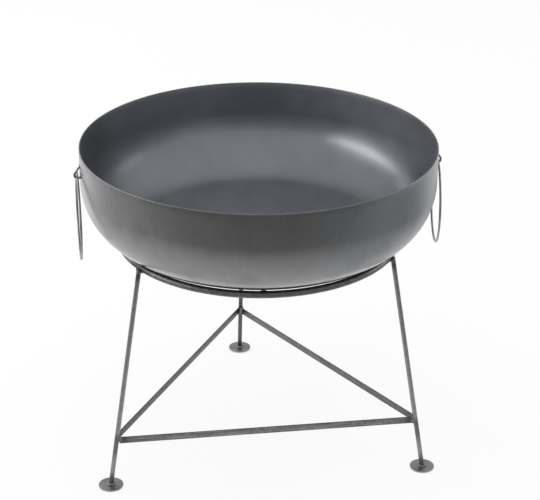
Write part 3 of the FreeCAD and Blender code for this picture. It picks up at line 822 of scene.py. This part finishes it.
def floor_in_mirror(tree):
    """The floor's painted glow as steel shows it: dim in front, brighter towards the back, with pools."""
    (front, dim), (back, bright) = (-1.4, 0.2), (1.6, 1.15)
    place = shader(tree, "ShaderNodeTexCoord").outputs["Object"]
    y = shader(tree, "ShaderNodeSeparateXYZ", {0: place}).outputs[1]
    inputs = {"Value": y, "From Min": front, "From Max": back, "To Min": dim, "To Max": bright}
    light = shader(tree, "ShaderNodeMapRange", inputs).outputs[0]
    for middle, inner, outer, strength in MIRRORED_POOLS:
        away = shader(tree, "ShaderNodeVectorMath", {0: place, 1: middle}, operation="DISTANCE")
        light = maths(tree, "ADD", light, span(tree, away.outputs["Value"], inner, outer, strength, 0.0))
    return light


def make_floor():
    """A plain white floor that keeps a faint shadow."""
    floor = begin(bpy.ops.mesh.primitive_plane_add, "floor", size=60, location=(0, 0, 0))
    material, tree = new_material("floor_white")
    lit = shader(tree, "ShaderNodeBsdfDiffuse", {"Color": FLOOR_LIT})
    glow = shader(tree, "ShaderNodeEmission", {"Color": WHITE, "Strength": FLOOR_GLOW})
    shown = shader(tree, "ShaderNodeAddShader", {0: lit.outputs[0], 1: glow.outputs[0]})
    plain = shader(tree, "ShaderNodeBsdfDiffuse", {"Color": FLOOR_PLAIN})
    mirrored = shader(tree, "ShaderNodeEmission", {"Color": WHITE, "Strength": floor_in_mirror(tree)})
    rays = shader(tree, "ShaderNodeLightPath").outputs
    inputs = {0: rays["Is Camera Ray"], 1: plain.outputs[0], 2: shown.outputs[0]}
    seen = shader(tree, "ShaderNodeMixShader", inputs)
    in_mirror = maths(tree, "MAXIMUM", rays["Is Glossy Ray"], rays["Is Transmission Ray"])
    inputs = {0: in_mirror, 1: seen.outputs[0], 2: mirrored.outputs[0]}
    show(tree, shader(tree, "ShaderNodeMixShader", inputs))
    floor.data.materials.append(material)


def make_world():
    """A white room."""
    world = bpy.data.worlds.new("white_room")
    bpy.context.scene.world = world
    world.use_nodes = True
    tree = world.node_tree
    tree.nodes.clear()
    to_camera = shader(tree, "ShaderNodeLightPath").outputs["Is Camera Ray"]
    strength = maths(tree, "ADD", ROOM_LIGHT, maths(tree, "MULTIPLY", to_camera, 1 - ROOM_LIGHT))
    glow = shader(tree, "ShaderNodeBackground", {"Color": WHITE, "Strength": strength})
    show(tree, glow, "ShaderNodeOutputWorld")


def add_softbox(name, place, size, power):
    """A rectangular lamp that faces the bowl."""
    data = bpy.data.lights.new(name, "AREA")
    data.shape = "RECTANGLE"
    data.size, data.size_y = size
    data.energy = power
    lamp = bpy.data.objects.new(name, data)
    bpy.context.scene.collection.objects.link(lamp)
    lamp.location = place
    lamp.rotation_euler = (LAMP_TARGET - Vector(place)).to_track_quat("-Z", "Y").to_euler()


def make_studio():
    """Camera, floor, room and lamps."""
    make_camera()
    make_floor()
    make_world()
    for values in SOFTBOXES:
        add_softbox(*values)
    bpy.context.scene.view_settings.view_transform = "Standard"


def make_stand(weld):
    """Hoop, legs, feet, braces and tabs, with the welds that join them."""
    leg = bar_steel("leg_bar_steel", (0.25, 0.246, 0.235), (0.34, 0.336, 0.322), leg_heat)
    # The back leg, under the bowl, gets a darker copy of the leg steel: painted shade.
    shaded_back_leg = bar_steel("scaled_leg_steel", (0.085, 0.085, 0.085), (0.125, 0.125, 0.124), leg_heat)
    hoop = bar_steel("hoop_bar_steel", (0.12, 0.119, 0.117), (0.2, 0.198, 0.195), hoop_heat)
    # The left and right braces, under the bowl, are darker copies of the front brace's steel: painted shade.
    braces = {
        "left": bar_steel("left_brace_steel", (0.078, 0.079, 0.081), (0.125, 0.126, 0.128), brace_heat, 0.3),
        "front": bar_steel("front_brace_steel", (0.145, 0.141, 0.133), (0.225, 0.22, 0.21), brace_heat, 0.5),
        "right": bar_steel("right_brace_steel", (0.12, 0.12, 0.121), (0.18, 0.18, 0.181), brace_heat, 0.3),
    }
    foot, tab = foot_steel(), tab_steel()
    make_hoop(hoop)
    for number, name in enumerate(LEG_ANGLES):
        seed = random.Random(number)
        make_leg(name, shaded_back_leg if name == "back" else leg)
        make_foot(name, foot)
        make_foot_weld(name, weld, seed)
        make_hoop_weld(name, weld, seed)
        make_brace_weld(name, weld, seed)
    for name in BRACE_ANGLES:
        make_brace(name, braces[name])
    for name in TAB_ANGLES:
        make_tab(name, tab)


def make_handles(weld):
    """An eye, its welds and a ring on each side of the bowl."""
    wire = wire_steel()
    for number, side in enumerate(HANDLE_ANGLES):
        make_eye(side, wire)
        make_eye_welds(side, weld, random.Random(HANDLE_SEED + number))
        make_ring(side, wire)


make_studio()
weld_material = weld_steel()
make_stand(weld_material)
make_bowl()
make_handles(weld_material)
